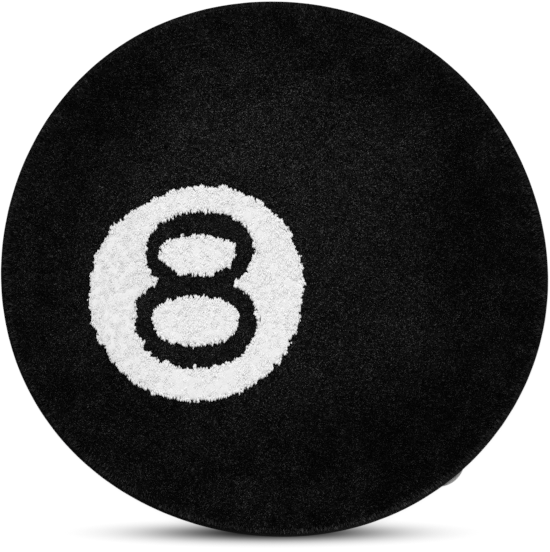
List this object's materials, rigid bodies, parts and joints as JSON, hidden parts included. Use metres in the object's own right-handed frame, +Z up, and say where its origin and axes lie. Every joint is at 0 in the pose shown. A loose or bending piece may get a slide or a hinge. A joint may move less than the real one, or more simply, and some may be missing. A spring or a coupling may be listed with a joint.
{
  "type": "round tufted rug",
  "caption": "Round cut-pile rug for the floor: black pile with an off-centre white roundel and a black figure eight, bound edge, grip backing.",
  "frame": {"origin": "middle of the underside, on the flat face that rests on the floor", "axes": "+Z up out of the pile; +Y towards the top of the figure eight; +X to its right-hand side"},
  "size_m": [0.7992, 0.7966, 0.019],
  "materials": {
    "black_yarn": "soft cut pile yarn, black, faint sheen on the tips, lighter where the pile lies towards the viewer",
    "white_yarn": "soft cut pile yarn, off-white, fine grey shading between the tips",
    "binding_tape": "black twill-woven polyester tape, matt",
    "sewing_thread": "black twisted sewing thread, slight sheen",
    "primary_cloth": "dark plain-woven slit-film cloth",
    "backing_cloth": "grey woven scrim cloth",
    "latex": "cream foamed latex, satin",
    "grip_backing": "grey felt faced with small soft rubber grip dots",
    "care_label": "pale grey satin label tape, blank"
  },
  "bodies": {
    "root": {"grip_backing": "grip_backing", "secondary_backing_cloth": "backing_cloth", "latex_adhesive_coat": "latex", "primary_backing_cloth": "primary_cloth", "black_ground_pile": "black_yarn", "white_roundel_pile": "white_yarn", "black_numeral_pile": "black_yarn", "white_upper_counter_pile": "white_yarn", "white_lower_counter_pile": "white_yarn", "edge_binding_tape": "binding_tape", "binding_needle_thread": "sewing_thread", "binding_bobbin_thread": "sewing_thread", "blank_care_label": "care_label"}
  },
  "joints": []
}
